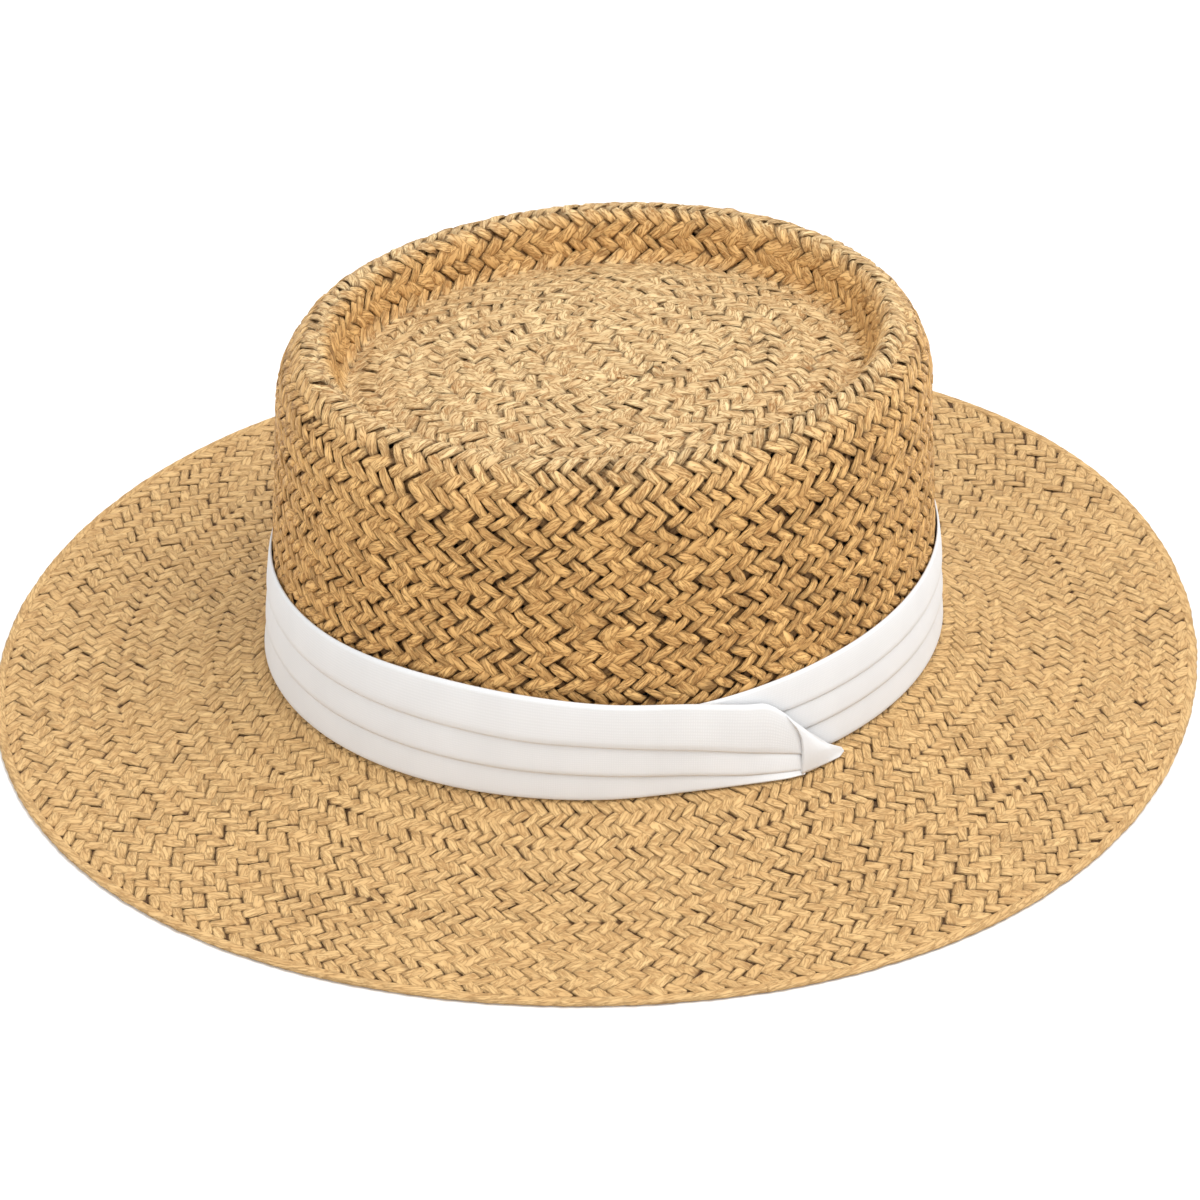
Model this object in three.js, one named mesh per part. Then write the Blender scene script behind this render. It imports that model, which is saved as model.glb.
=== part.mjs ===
// A woven straw sun hat with a telescope crown, a wide brim and a pleated cloth band tied in a flat knot.
//
// Millimetres, +Z up. The hat rests on its brim: the origin is on that surface, under the middle of the
// head opening. The front of the hat faces -Y and the wearer's left is +X.
//
// Every piece is drawn as if the hat were round, as (radius, turn, height), and one function then
// stretches it to the oval of a head. Turn is counted in degrees from +X towards +Y.
import * as THREE from "three";
import { mergeVertices } from "three/addons/utils/BufferGeometryUtils.js";

// Driving dimensions

const HEAD_LENGTH = 198.4; // head opening, front to back
const HEAD_WIDTH = 167.2; // head opening, side to side
const STRAW = 2.4; // thickness of the woven crown
const BRIM_STRAW = 2.2; // thickness of the pressed brim
const BRIM_WIDTH = 81.6; // from the crown's outer face to the brim's edge
const BRIM_DROP = 9.4; // how far the brim falls from the crown to its edge
const BRIM_SWEEP = 55; // width of the hollow sweep beside the crown, before the brim is level
const CROWN_HEIGHT = 103.1; // from the brim to the crest of the crown
const CROWN_LEAN = 5; // how far the side leans in below the shoulder
const SHOULDER_INSET = 13; // how far the rounded shoulder goes in to the crest
const SHOULDER_RISE = 22; // how far it goes up to the crest
const DENT_DEPTH = 14.7; // from the crest to the groove around the tip
const DENT_SLOPE = 8.8; // width of the slope from the crest down to the groove
const TIP_RISE = 6; // how far the tip domes up from the groove
const BAND_PLEATS = 3; // lapped pleats, one above the other
const PLEAT_THIN = 0.9; // cloth at the upper edge of a pleat
const PLEAT_THICK = 1.9; // cloth at its folded lower edge
const KNOT_THICKNESS = 2.2; // folded cloth of the knot
const GAP = 0.3; // clearance between pieces that touch

const AROUND = 64; // facets in one turn
const DEGREE = Math.PI / 180;

// Sizes that follow

const MEAN_HEAD = (HEAD_LENGTH + HEAD_WIDTH) / 4; // radius of the round hat's opening
const OVAL_STRETCH = (HEAD_LENGTH - HEAD_WIDTH) / 4; // what the oval adds to the length, and takes from the width
const FOOT_RADIUS = MEAN_HEAD + STRAW; // outer face of the crown where it meets the brim
const BRIM_TOP = BRIM_STRAW + BRIM_DROP; // top of the brim at the crown
const CREST = BRIM_TOP + CROWN_HEIGHT;
const SHOULDER = CREST - SHOULDER_RISE; // height where the side starts to round in
const CROWN_JOINT = SHOULDER + SHOULDER_RISE * 0.64; // height where the side's piece meets the crest's
const CREST_RADIUS = FOOT_RADIUS - CROWN_LEAN - SHOULDER_INSET;
const TIP_RADIUS = CREST_RADIUS - DENT_SLOPE;
const GROOVE = CREST - DENT_DEPTH; // height of the groove's floor

// Band sections, from the end that lies against the crown to the end in the knot. The strip goes once
// round and laps over its own start, sinking and narrowing as it is drawn into the knot.
//   turn: degrees   low, high: edges above the crown's foot
//   foot_lift, top_lift: gap between the strip and the crown at those edges
const BAND_SECTIONS = [
  { turn: -3, low: 0.3, high: 27.2, foot_lift: 0.4, top_lift: 0.4 },
  { turn: 24, low: 0.3, high: 29.6, foot_lift: 0.4, top_lift: 0.4 },
  { turn: 50, low: 0.3, high: 31.2, foot_lift: 0.4, top_lift: 0.4 },
  { turn: 160, low: 0.3, high: 33.2, foot_lift: 0.4, top_lift: 0.4 },
  { turn: 290, low: 0.3, high: 34.4, foot_lift: 0.4, top_lift: 0.4 },
  { turn: 324, low: 0.3, high: 35.4, foot_lift: 0.5, top_lift: 1.2 },
  { turn: 334, low: 0.3, high: 34.4, foot_lift: 0.6, top_lift: 1.8 },
  { turn: 346, low: 0.3, high: 32.2, foot_lift: 1.0, top_lift: 2.2 },
  { turn: 355, low: 0.0, high: 30.4, foot_lift: 2.8, top_lift: 2.8 },
  { turn: 362, low: -0.2, high: 28.8, foot_lift: 2.8, top_lift: 2.8 },
  { turn: 370, low: -0.7, high: 25.2, foot_lift: 3.2, top_lift: 2.8 },
  { turn: 373.7, low: -1.0, high: 23.4, foot_lift: 4.0, top_lift: 2.9 },
  { turn: 376.2, low: -1.3, high: 18.4, foot_lift: 4.8, top_lift: 3.4 },
  { turn: 378.9, low: -1.5, high: 9.0, foot_lift: 5.4, top_lift: 4.8 },
];
const BAND_STEPS = 84;

// Knot sections, from the wrap that covers the end of the band to the blunt point of the tail.
//   turn, low and high as above   lift: gap between the knot and the crown   cloth: thickness there
const KNOT_SECTIONS = [
  { turn: 376, low: 10.0, high: 19.0, lift: 7.7, cloth: 0.7 },
  { turn: 377.4, low: 2.0, high: 17.0, lift: 7.7, cloth: 1.4 },
  { turn: 379.2, low: -1.4, high: 13.4, lift: 7.7, cloth: 1.8 },
  { turn: 382, low: -1.4, high: 8.2, lift: 6.4, cloth: KNOT_THICKNESS },
  { turn: 385, low: -1.4, high: 3.4, lift: 5.4, cloth: 1.6 },
  { turn: 387.6, low: -1.2, high: 0.2, lift: 4.8, cloth: 0.9 },
];
const KNOT_STEPS = 14;

// Shared shapes

// Stretches a round hat's point to the oval of a head. Inside the tip the stretch fades to nothing.
function toOval(radius, turn, height) {
  const stretch = OVAL_STRETCH * Math.min(1, radius / TIP_RADIUS);
  return new THREE.Vector3(
    (radius - stretch) * Math.cos(turn),
    (radius + stretch) * Math.sin(turn),
    height,
  );
}

// Turns a section, drawn as (radius, height), once round the hat.
function turned(section) {
  const geometry = new THREE.LatheGeometry(section, AROUND);
  geometry.deleteAttribute("normal");
  geometry.deleteAttribute("uv");
  const position = geometry.getAttribute("position");
  for (let i = 0; i < position.count; i++) {
    const across = position.getX(i);
    const along = position.getZ(i);
    const point = toOval(Math.hypot(across, along), Math.atan2(across, along), position.getY(i));
    position.setXYZ(i, point.x, point.y, point.z);
  }
  return mergeVertices(geometry, 1e-3);
}

// Joins a row of equal closed loops into a solid with flat ends.
function lofted(loops) {
  const count = loops[0].length;
  const corners = loops.flat().flatMap((point) => point.toArray());
  const triangles = [];
  for (let step = 0; step + 1 < loops.length; step++) {
    for (let side = 0; side < count; side++) {
      const a = step * count + side;
      const b = step * count + ((side + 1) % count);
      triangles.push(a, b, a + count, b, b + count, a + count);
    }
  }
  const last = (loops.length - 1) * count;
  for (const [first, second, third] of THREE.ShapeUtils.triangulateShape(flatLoop(loops[0]), [])) {
    triangles.push(first, second, third);
  }
  for (const [first, second, third] of THREE.ShapeUtils.triangulateShape(flatLoop(loops.at(-1)), [])) {
    triangles.push(last + first, last + third, last + second);
  }
  const geometry = new THREE.BufferGeometry();
  geometry.setAttribute("position", new THREE.Float32BufferAttribute(corners, 3));
  geometry.setIndex(triangles);
  return geometry;
}

// An end loop seen flat, as (distance from the axis, height).
function flatLoop(loop) {
  return loop.map((point) => new THREE.Vector2(Math.hypot(point.x, point.y), point.z));
}

// A column of a table of sections at a given turn, eased from row to row.
function columnAt(sections, column, turn) {
  const next = Math.max(1, sections.findIndex((row) => row.turn >= turn - 1e-6));
  const [from, to] = [sections[next - 1], sections[next]];
  const share = THREE.MathUtils.smoothstep(turn, from.turn, to.turn);
  return THREE.MathUtils.lerp(from[column], to[column], share);
}

// Evenly spaced turns from the first row of a table to its last.
function turnsOf(sections, steps) {
  const [first, last] = [sections[0].turn, sections.at(-1).turn];
  return Array.from({ length: steps + 1 }, (_, i) => THREE.MathUtils.lerp(first, last, i / steps));
}

// The crown's outer face at a height above the brim: straight, then rounded in to the crest.
function sideRadius(above) {
  const straight = SHOULDER - BRIM_TOP;
  if (above <= straight) return FOOT_RADIUS - (CROWN_LEAN * above) / straight;
  return CREST_RADIUS + SHOULDER_INSET * Math.sqrt(1 - ((above - straight) / SHOULDER_RISE) ** 2);
}

// Crown: a side that leans in, a rounded crest that turns down into a dented top, and a domed tip

function sideSection() {
  const straight = SHOULDER - BRIM_TOP;
  const top = CROWN_JOINT - GAP - BRIM_TOP;
  const heights = [GAP, straight / 2, straight, (straight + top) / 2, top];
  const outer = heights.map((above) => new THREE.Vector2(sideRadius(above), BRIM_TOP + above));
  const inner = outer.map((point) => new THREE.Vector2(point.x - STRAW, point.y));
  return walled(outer, inner);
}

function crestSection() {
  const start = Math.asin((CROWN_JOINT - SHOULDER) / SHOULDER_RISE);
  const shoulder = new THREE.EllipseCurve(
    CREST_RADIUS, SHOULDER, SHOULDER_INSET, SHOULDER_RISE, start, Math.PI / 2,
  );
  const dent = new THREE.CubicBezierCurve(
    new THREE.Vector2(CREST_RADIUS, CREST),
    new THREE.Vector2(CREST_RADIUS - DENT_SLOPE * 0.65, CREST),
    new THREE.Vector2(TIP_RADIUS + DENT_SLOPE * 0.4, GROOVE),
    new THREE.Vector2(TIP_RADIUS, GROOVE),
  );
  const outer = withoutRepeats([...shoulder.getPoints(3), ...dent.getPoints(5)]);
  return walled(outer, insetBy(outer, STRAW));
}

// The tip is nearly flat in the middle and falls to the groove at its rim.
function tipSection() {
  const shares = [1, 0.85, 0.6, 0];
  const outer = shares.map(
    (share) => new THREE.Vector2((TIP_RADIUS - GAP) * share, GROOVE + TIP_RISE * (1 - share ** 4)),
  );
  const inner = outer.map((point) => new THREE.Vector2(point.x, point.y - STRAW));
  return walled(outer, inner);
}

// A wall between two lines, as one section. It runs round to its start unless it ends on the axis.
function walled(outer, inner) {
  const section = [...inner.reverse(), ...outer];
  return section[0].x === 0 ? section : [...section, section[0]];
}

// Drops points that stand on the one before.
function withoutRepeats(points) {
  return points.filter((point, i) => i === 0 || point.distanceTo(points[i - 1]) > 0.2);
}

// The same line, one wall thickness further in.
function insetBy(points, wall) {
  return points.map((point, i) => {
    const before = points[Math.max(0, i - 1)];
    const after = points[Math.min(points.length - 1, i + 1)];
    const along = after.clone().sub(before).normalize();
    const level = i === 0 ? new THREE.Vector2(0, 1) : along;
    return new THREE.Vector2(point.x - level.y * wall, point.y + level.x * wall);
  });
}

// Brim: falls from the crown in a hollow sweep to a level outer ring, which the hat rests on

function brimSection() {
  const inner = MEAN_HEAD;
  const edge = FOOT_RADIUS + BRIM_WIDTH;
  const round = BRIM_STRAW / 2;
  const top = new THREE.CubicBezierCurve(
    new THREE.Vector2(FOOT_RADIUS, BRIM_TOP),
    new THREE.Vector2(FOOT_RADIUS + BRIM_SWEEP * 0.22, BRIM_STRAW + BRIM_DROP * 0.4),
    new THREE.Vector2(FOOT_RADIUS + BRIM_SWEEP * 0.55, BRIM_STRAW),
    new THREE.Vector2(FOOT_RADIUS + BRIM_SWEEP, BRIM_STRAW),
  ).getPoints(8);
  const under = top.map((point) => new THREE.Vector2(point.x, point.y - BRIM_STRAW));
  const rounding = new THREE.Path().absarc(edge - round, round, round, -Math.PI / 2, Math.PI / 2, false);
  return [
    new THREE.Vector2(inner, BRIM_TOP - BRIM_STRAW),
    ...under,
    ...rounding.getPoints(2),
    ...top.reverse(),
    new THREE.Vector2(inner, BRIM_TOP),
    new THREE.Vector2(inner, BRIM_TOP - BRIM_STRAW),
  ];
}

// Band: one strip of lapped pleats, wound round the crown over its own start

function bandLoop(turn) {
  const low = columnAt(BAND_SECTIONS, "low", turn);
  const high = columnAt(BAND_SECTIONS, "high", turn);
  const footLift = columnAt(BAND_SECTIONS, "foot_lift", turn);
  const topLift = columnAt(BAND_SECTIONS, "top_lift", turn);
  const pleat = (high - low) / BAND_PLEATS;
  const place = (above, out) => {
    const lift = THREE.MathUtils.mapLinear(above, low, high, footLift, topLift);
    return toOval(sideRadius(above) + lift + out, turn * DEGREE, BRIM_TOP + above);
  };
  const face = [];
  for (let i = BAND_PLEATS; i > 0; i--) {
    const upper = low + pleat * i;
    face.push(place(upper, PLEAT_THIN));
    face.push(place(upper - pleat * 0.55, (PLEAT_THIN + PLEAT_THICK) / 2 + 0.1));
    face.push(place(upper - pleat * 0.93, PLEAT_THICK));
  }
  face.push(place(low, PLEAT_THIN));
  return [...face, place(low, 0), place((low + high) / 2, 0), place(high, 0)];
}

// Knot: the folded wrap over the end of the band, and its pointed tail

function knotLoop(turn) {
  const low = columnAt(KNOT_SECTIONS, "low", turn);
  const high = columnAt(KNOT_SECTIONS, "high", turn);
  const lift = columnAt(KNOT_SECTIONS, "lift", turn);
  const cloth = columnAt(KNOT_SECTIONS, "cloth", turn);
  const place = (share, out) => {
    const above = THREE.MathUtils.lerp(low, high, share);
    return toOval(sideRadius(above) + lift + out, turn * DEGREE, BRIM_TOP + above);
  };
  const front = [1, 0.75, 0.5, 0.25, 0].map((share) => place(share, cloth * (0.7 + 1.2 * share * (1 - share))));
  return [...front, place(0, 0), place(0.5, 0), place(1, 0)];
}

// The hat

function piece(name, geometry, colour, roughness) {
  const material = new THREE.MeshStandardMaterial({ color: colour, roughness, metalness: 0 });
  const mesh = new THREE.Mesh(geometry, material);
  mesh.name = name;
  return mesh;
}

const STRAW_COLOUR = 0xd2a866;
const CLOTH_COLOUR = 0xf1eeea;

const hat = new THREE.Group();
hat.name = "sun_hat";
hat.add(piece("crown_side", turned(sideSection()), STRAW_COLOUR, 0.75));
hat.add(piece("crown_crest", turned(crestSection()), STRAW_COLOUR, 0.75));
hat.add(piece("crown_tip", turned(tipSection()), STRAW_COLOUR, 0.75));
hat.add(piece("brim", turned(brimSection()), STRAW_COLOUR, 0.75));
hat.add(piece("hat_band", lofted(turnsOf(BAND_SECTIONS, BAND_STEPS).map(bandLoop)), CLOTH_COLOUR, 0.85));
hat.add(piece("band_knot", lofted(turnsOf(KNOT_SECTIONS, KNOT_STEPS).map(knotLoop)), CLOTH_COLOUR, 0.85));

export default hat;
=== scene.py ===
"""A woven straw sun hat with a pleated cloth band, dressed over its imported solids."""

import math
from functools import cache
from typing import NamedTuple

import bmesh
import bpy
import numpy as np
from bpy.props import FloatProperty, FloatVectorProperty, PointerProperty
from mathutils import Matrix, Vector


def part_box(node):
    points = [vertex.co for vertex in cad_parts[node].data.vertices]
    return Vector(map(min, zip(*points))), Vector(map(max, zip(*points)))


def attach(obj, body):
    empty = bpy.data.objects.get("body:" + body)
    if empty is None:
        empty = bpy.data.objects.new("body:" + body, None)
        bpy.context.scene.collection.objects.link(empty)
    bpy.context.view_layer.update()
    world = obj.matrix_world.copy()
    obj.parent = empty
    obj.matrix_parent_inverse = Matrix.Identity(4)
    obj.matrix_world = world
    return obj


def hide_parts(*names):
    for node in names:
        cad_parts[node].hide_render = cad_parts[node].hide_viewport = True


bl_info = {
    "name": "Straw Sun Hat",
    "version": (1, 0, 0),
    "blender": (4, 5, 0),
    "location": "3D View > Sidebar > Sun Hat",
    "description": "Weaves a straw sun hat over its solids, ties its cloth band and sets its stage",
    "category": "Object",
}

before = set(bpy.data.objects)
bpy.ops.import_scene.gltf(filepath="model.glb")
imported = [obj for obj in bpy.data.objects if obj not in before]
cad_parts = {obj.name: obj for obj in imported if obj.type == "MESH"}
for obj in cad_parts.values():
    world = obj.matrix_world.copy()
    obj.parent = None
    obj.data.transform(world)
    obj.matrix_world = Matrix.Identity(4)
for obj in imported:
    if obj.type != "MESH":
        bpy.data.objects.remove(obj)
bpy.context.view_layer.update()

# Sizes of the solids, in metres. The hat is drawn round, and then stretched to the oval of a head.
MM = 0.001
TINY = 1e-9
BRIM_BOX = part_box("brim")
CREST_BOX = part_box("crown_crest")
EDGE_RADIUS = (BRIM_BOX[1][0] + BRIM_BOX[1][1]) / 2
OVAL_STRETCH = (BRIM_BOX[1][1] - BRIM_BOX[1][0]) / 2
BRIM_TOP = BRIM_BOX[1][2]
CREST = CREST_BOX[1][2]
BRIM_WIDTH = 81.6 * MM
BRIM_SWEEP = 55 * MM
BRIM_STRAW = 2.2 * MM
STRAW = 2.4 * MM
FOOT_RADIUS = EDGE_RADIUS - BRIM_WIDTH
CROWN_LEAN = 5 * MM
SHOULDER_INSET = 13 * MM
SHOULDER_RISE = 22 * MM
DENT_DEPTH = 14.7 * MM
DENT_SLOPE = 8.8 * MM
TIP_RISE = 6 * MM
SHOULDER = CREST - SHOULDER_RISE
CREST_RADIUS = FOOT_RADIUS - CROWN_LEAN - SHOULDER_INSET
TIP_RADIUS = CREST_RADIUS - DENT_SLOPE
GROOVE = CREST - DENT_DEPTH

# Curves of the walls' sections. Handles are shares of a curve's width, and steps are points along it.
TIP_FLATNESS = 4
DENT_FOOT_HANDLE = 0.4
DENT_CREST_HANDLE = 0.65
SWEEP_TOP_HANDLE = 0.22
SWEEP_TOP_HEIGHT = 0.4
SWEEP_FOOT_HANDLE = 0.55
TIP_STEPS = 60
CURVE_STEPS = 40
OPENING_STEPS = 4
LEVEL_STEPS = 12

# The brim's outline wanders slowly in and out of its oval.
#   waves: in a full turn   size: millimetres at the edge   turn: of a crest, in degrees
BRIM_WAVES = [
    {"waves": 2, "size": 2.0, "turn": -73},
    {"waves": 3, "size": 1.5, "turn": 13},
    {"waves": 4, "size": 1.5, "turn": 27},
]

# Weave: strands cross on a slant. Each goes over two and under two, so rings of floats lean one way and
# then the other. The tip starts as a square patch. New strands come in from zone to zone.
PATCH_RINGS = 4
PATCH_ROOM = 3.2 * MM
PATCH_TURN = 58
PATCH_OVERLAP = 0.2
PATCH_START = 0.25
TIP_ZONES = [
    {"rings": 2, "strands": 31},
    {"rings": 2, "strands": 43},
    {"rings": 2, "strands": 55},
    {"rings": 2, "strands": 67},
    {"rings": 2, "strands": 79},
    {"rings": 2, "strands": 94},
]
DENT_ZONES = [
    {"rings": 4, "strands": 106},
]
SIDE_ZONES = [
    {"rings": 25, "strands": 119},
]
BRIM_INNER_ZONES = [
    {"rings": 5, "strands": 180},
    {"rings": 7, "strands": 204},
]
BRIM_OUTER_ZONES = [
    {"rings": 8, "strands": 218},
]
FAMILIES = ("right", "left")
STRAND_SETTINGS = ("width", "thickness", "puff", "unevenness")

# Strands: their sections, the samples along them and how they dive. Steps, dive and tuck are in rows. At the
# ends of a zone a strand dives on under the next zone, or is tucked in short of it.
SECTION_SIDES = 6
SECTION_FLATNESS = 0.6
CAP_QUADS = ([0, 1, 2, 3], [0, 3, 4, 5])
FLOAT_FLATNESS = 3.2
FLOAT_MIDDLE = 0.5
SAMPLE_STEP = 0.5
SAMPLE_SLACK = 0.01
DIVE = 0.75
TUCK = 0.25
DIVE_CROWDING = 0.14
NECK = 0.8
# Painted shade: how much darker a strand's lower corners are painted than its top
EDGE_SHADE = 0.5
TWIST = 22.0
UV_START_SPREAD = 3.0
SEED = 11


class Wander(NamedTuple):
    """A strand's wandering along its run: how far, and the samples from one aim to the next."""

    size: float
    every: int


# How strands wander from an even weave, and how they differ from one to the next. A size is a share of a
# float's lift, of a strand's width, thickness or room, of a radian of roll, or of the range of tone or depth.
LIFT_WANDER = Wander(0.14, 3)
WIDTH_SPREAD = 0.05
WIDTH_WANDER = Wander(0.07, 4)
THICKNESS_WANDER = Wander(0.09, 3)
ROLL_WANDER = Wander(0.14, 4)
TONE_WANDER = Wander(0.25, 4)
# Depth sets the painted shade in the gaps, so its wander paints some dives darker than others
DEPTH_WANDER = Wander(0.2, 2)
TURN_SPREAD = 0.07
TURN_WANDER = Wander(0.12, 3)
ALONG_WANDER = Wander(0.06, 3)
PATCH_RUN_WANDER = Wander(0.08, 3)
PATCH_SIDE_WANDER = Wander(0.12, 3)

# The strand round the brim's edge, dented where each strand of the weave turns over it; its dents get a
# little painted shade
EDGE_INSET = 2.4 * MM
EDGE_TURNS = 218
EDGE_STEPS = 6 * EDGE_TURNS
EDGE_WIDTH = 3.3 * MM
EDGE_THICKNESS = 1.7 * MM
EDGE_HEIGHT = 1.0 * MM
EDGE_DENT = 0.05
EDGE_DENT_SHADE = 0.5
EDGE_DEPTH = 2.0
EDGE_TONE = 0.5
EDGE_DENT_WANDER = Wander(1.0, 9)
EDGE_WIDTH_WANDER = Wander(0.05, 5)
EDGE_TONE_WANDER = Wander(0.3, 4)

# Straw: noise along each strand makes its folds and fibres, with painted shade in the folds and creases.
# Ranges are of noise, tone or depth.
FOLD_SCALE = (6, 140)
FOLD_DETAIL = 2.0
FOLD_RANGE = (0.34, 0.64)
FIBRE_SCALE = (12, 170)
FIBRE_DETAIL = 3.0
FIBRE_MIDDLE = 0.5
NOISE_ROUGHNESS = 0.6
CREASE_WIDTH = 0.045
CREASE_DEPTH = 1.8
CREASE_RELIEF = 0.2
TONE_LIGHT = (0.8, 1.0)
# Painted shade in the gaps: fibre noise rags its edge, depth from the first number to the second is painted
# from no shade to full, and a wall that faces up gets less
GAP_RAGGEDNESS = 1.4
GAP_RANGE = (1.3, -0.1)
SUNLIT_GAP_LIFT = 0.1
STRAW_RELIEF = 0.7 * MM
STRAW_SPECULAR = 0.22

# Cloth: fine threads both ways, and a faint cloudiness
THREAD_SCALE = 620
THREAD_DISTORTION = 0.8
THREAD_DETAIL = 1.0
THREAD_LIGHT = (0.95, 1.02)
THREAD_STRENGTH = 0.25
THREAD_RELIEF = 0.1 * MM
CLOUD_SCALE = 60
CLOUD_RANGE = (0.3, 0.7)
CLOUD_LIGHT = (0.97, 1.02)
CLOTH_ROUGHNESS = 0.85
CLOTH_SHEEN = 0.15
CLOTH_SHEEN_ROUGHNESS = 0.5


class BandSection(NamedTuple):
    """The band at a turn in degrees: heights above the crown's foot and lifts off the crown, in mm."""

    turn: float
    low: float
    crease_low: float
    crease_high: float
    high: float
    foot_lift: float
    top_lift: float


BAND_SECTIONS = [
    BandSection(-6.0, 0.2, 9.0, 17.0, 26.8, 0.4, 0.4),
    BandSection(2.0, 0.2, 9.0, 17.5, 27.4, 0.4, 0.4),
    BandSection(24.0, 0.2, 9.5, 18.5, 29.6, 0.4, 0.4),
    BandSection(50.0, 0.2, 10.0, 19.5, 31.2, 0.4, 0.4),
    BandSection(160.0, 0.2, 10.5, 21.0, 33.2, 0.4, 0.4),
    BandSection(290.0, 0.2, 10.5, 21.5, 34.4, 0.4, 0.4),
    BandSection(324.0, 0.0, 9.8, 20.6, 35.4, 0.5, 1.2),
    BandSection(334.0, -0.1, 9.2, 19.6, 34.4, 0.6, 1.8),
    BandSection(346.0, -0.3, 8.2, 18.2, 32.2, 0.8, 2.2),
    BandSection(362.0, -0.5, 4.9, 13.6, 28.8, 1.3, 2.4),
    BandSection(370.0, -1.1, 2.0, 9.6, 25.2, 2.9, 2.6),
    BandSection(373.7, -1.5, 0.9, 7.6, 23.4, 4.0, 2.8),
    BandSection(376.2, -1.8, 0.2, 6.2, 19.6, 4.8, 3.2),
    BandSection(377.8, -1.9, -0.2, 5.4, 16.2, 5.1, 3.8),
    BandSection(379.1, -2.0, -0.6, 4.6, 11.4, 5.3, 4.4),
]
BAND_EDGES = ("high", "crease_high", "crease_low", "low")
BAND_COLUMNS = 360
BAND_UV = ((0, 0.044), (0.7, 0))
BRIM_CLEAR = 0.4 * MM

# One pleat of the band, from its upper edge to the fold at its lower edge.
#   share: of the pleat's height, from its upper edge   drop: extra millimetres down   out: millimetres
PLEAT_PROFILE = [
    {"share": 0.00, "drop": 0.0, "out": 0.70},
    {"share": 0.12, "drop": 0.0, "out": 0.95},
    {"share": 0.35, "drop": 0.0, "out": 1.20},
    {"share": 0.62, "drop": 0.0, "out": 1.38},
    {"share": 0.85, "drop": 0.0, "out": 1.52},
    {"share": 1.00, "drop": -0.2, "out": 1.55},
    {"share": 1.00, "drop": 0.3, "out": 1.30},
    {"share": 1.00, "drop": 0.1, "out": 0.85},
]

# Soft wrinkles along the band.
#   waves: in a full turn   climb: radians for each millimetre up   size: share of the wrinkles' height
WRINKLES = [
    {"waves": 3.1, "climb": 0.42, "size": 1.0},
    {"waves": 7.3, "climb": -0.8, "size": 0.7},
]

# Knot outline: the wrap's edge and the tail's edge, both from foot to top. Turns are in degrees, and heights
# above the crown's foot, lifts off the crown and the puff are in millimetres.
KNOT_EDGE = [
    {"turn": 378.5, "height": -1.7, "lift": 6.7},
    {"turn": 378.65, "height": 2.4, "lift": 6.5},
    {"turn": 378.8, "height": 6.4, "lift": 6.2},
    {"turn": 378.75, "height": 10.2, "lift": 5.8},
    {"turn": 378.0, "height": 14.4, "lift": 5.4},
    {"turn": 376.6, "height": 18.2, "lift": 4.3},
]
KNOT_TAIL = [
    {"turn": 386.2, "height": -1.9, "lift": 6.1},
    {"turn": 387.5, "height": -1.3, "lift": 5.4},
    {"turn": 387.0, "height": 0.4, "lift": 5.2},
    {"turn": 384.4, "height": 3.6, "lift": 5.0},
    {"turn": 380.6, "height": 10.6, "lift": 5.1},
    {"turn": 376.8, "height": 18.3, "lift": 4.4},
]
KNOT_COLUMNS = 24
KNOT_ROWS = 20
KNOT_UV = ((0, 0), (0.016, 0.026))
KNOT_PUFF = 0.9
KNOT_PUFF_START = 0.25

# Camera at the photograph's angle
CAMERA_TURN = 74.6
CAMERA_RISE = 35.47
CAMERA_DISTANCE = 1.2328
CAMERA_LENS = 122.2
CAMERA_SENSOR = 36
CAMERA_SHIFT = (-0.00457, 0.01401)
CAMERA_CLIP = 50

# Floor and lights.
#   turn: degrees from the camera's   rise: degrees   distance, size: metres
FLOOR_REACH = 6
FLOOR_ROUGHNESS = 0.9
LIGHTS = [
    {"name": "key", "turn": 60, "rise": 68, "distance": 1.6, "size": 1.1},
    {"name": "fill", "turn": -50, "rise": 40, "distance": 1.8, "size": 1.2},
]


class SunHatWeave(bpy.types.PropertyGroup):
    """How the straw is woven."""

    side_width: FloatProperty(
        name="Crown width", description="Width of a crown strand as a share of its room",
        default=1.04, min=0.3, max=1.6,
    )
    side_thickness: FloatProperty(
        name="Crown strand", description="Thickness of a crown strand",
        default=1.15 * MM, unit="LENGTH",
    )
    side_puff: FloatProperty(
        name="Crown puff", description="How far a crown float stands off the wall's middle",
        default=0.62 * MM, unit="LENGTH",
    )
    side_unevenness: FloatProperty(
        name="Crown unevenness", description="How far a crown strand wanders from an even weave",
        default=1.5, min=0, max=3,
    )
    tip_width: FloatProperty(
        name="Tip width", description="Width of a tip strand as a share of its room",
        default=1.2, min=0.3, max=1.6,
    )
    tip_thickness: FloatProperty(
        name="Tip strand", description="Thickness of a tip strand",
        default=0.9 * MM, unit="LENGTH",
    )
    tip_puff: FloatProperty(
        name="Tip puff", description="How far a tip float stands off the wall's middle",
        default=0.4 * MM, unit="LENGTH",
    )
    tip_unevenness: FloatProperty(
        name="Tip unevenness", description="How far a tip strand wanders from an even weave",
        default=1.5, min=0, max=3,
    )
    brim_width: FloatProperty(
        name="Brim width", description="Width of a pressed brim strand as a share of its room",
        default=1.19, min=0.3, max=1.6,
    )
    brim_thickness: FloatProperty(
        name="Brim strand", description="Thickness of a pressed brim strand",
        default=0.8 * MM, unit="LENGTH",
    )
    brim_puff: FloatProperty(
        name="Brim puff", description="How far a pressed float stands off the wall's middle",
        default=0.26 * MM, unit="LENGTH",
    )
    brim_unevenness: FloatProperty(
        name="Brim unevenness", description="How far a pressed brim strand wanders from an even weave",
        default=1.1, min=0, max=3,
    )


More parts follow.
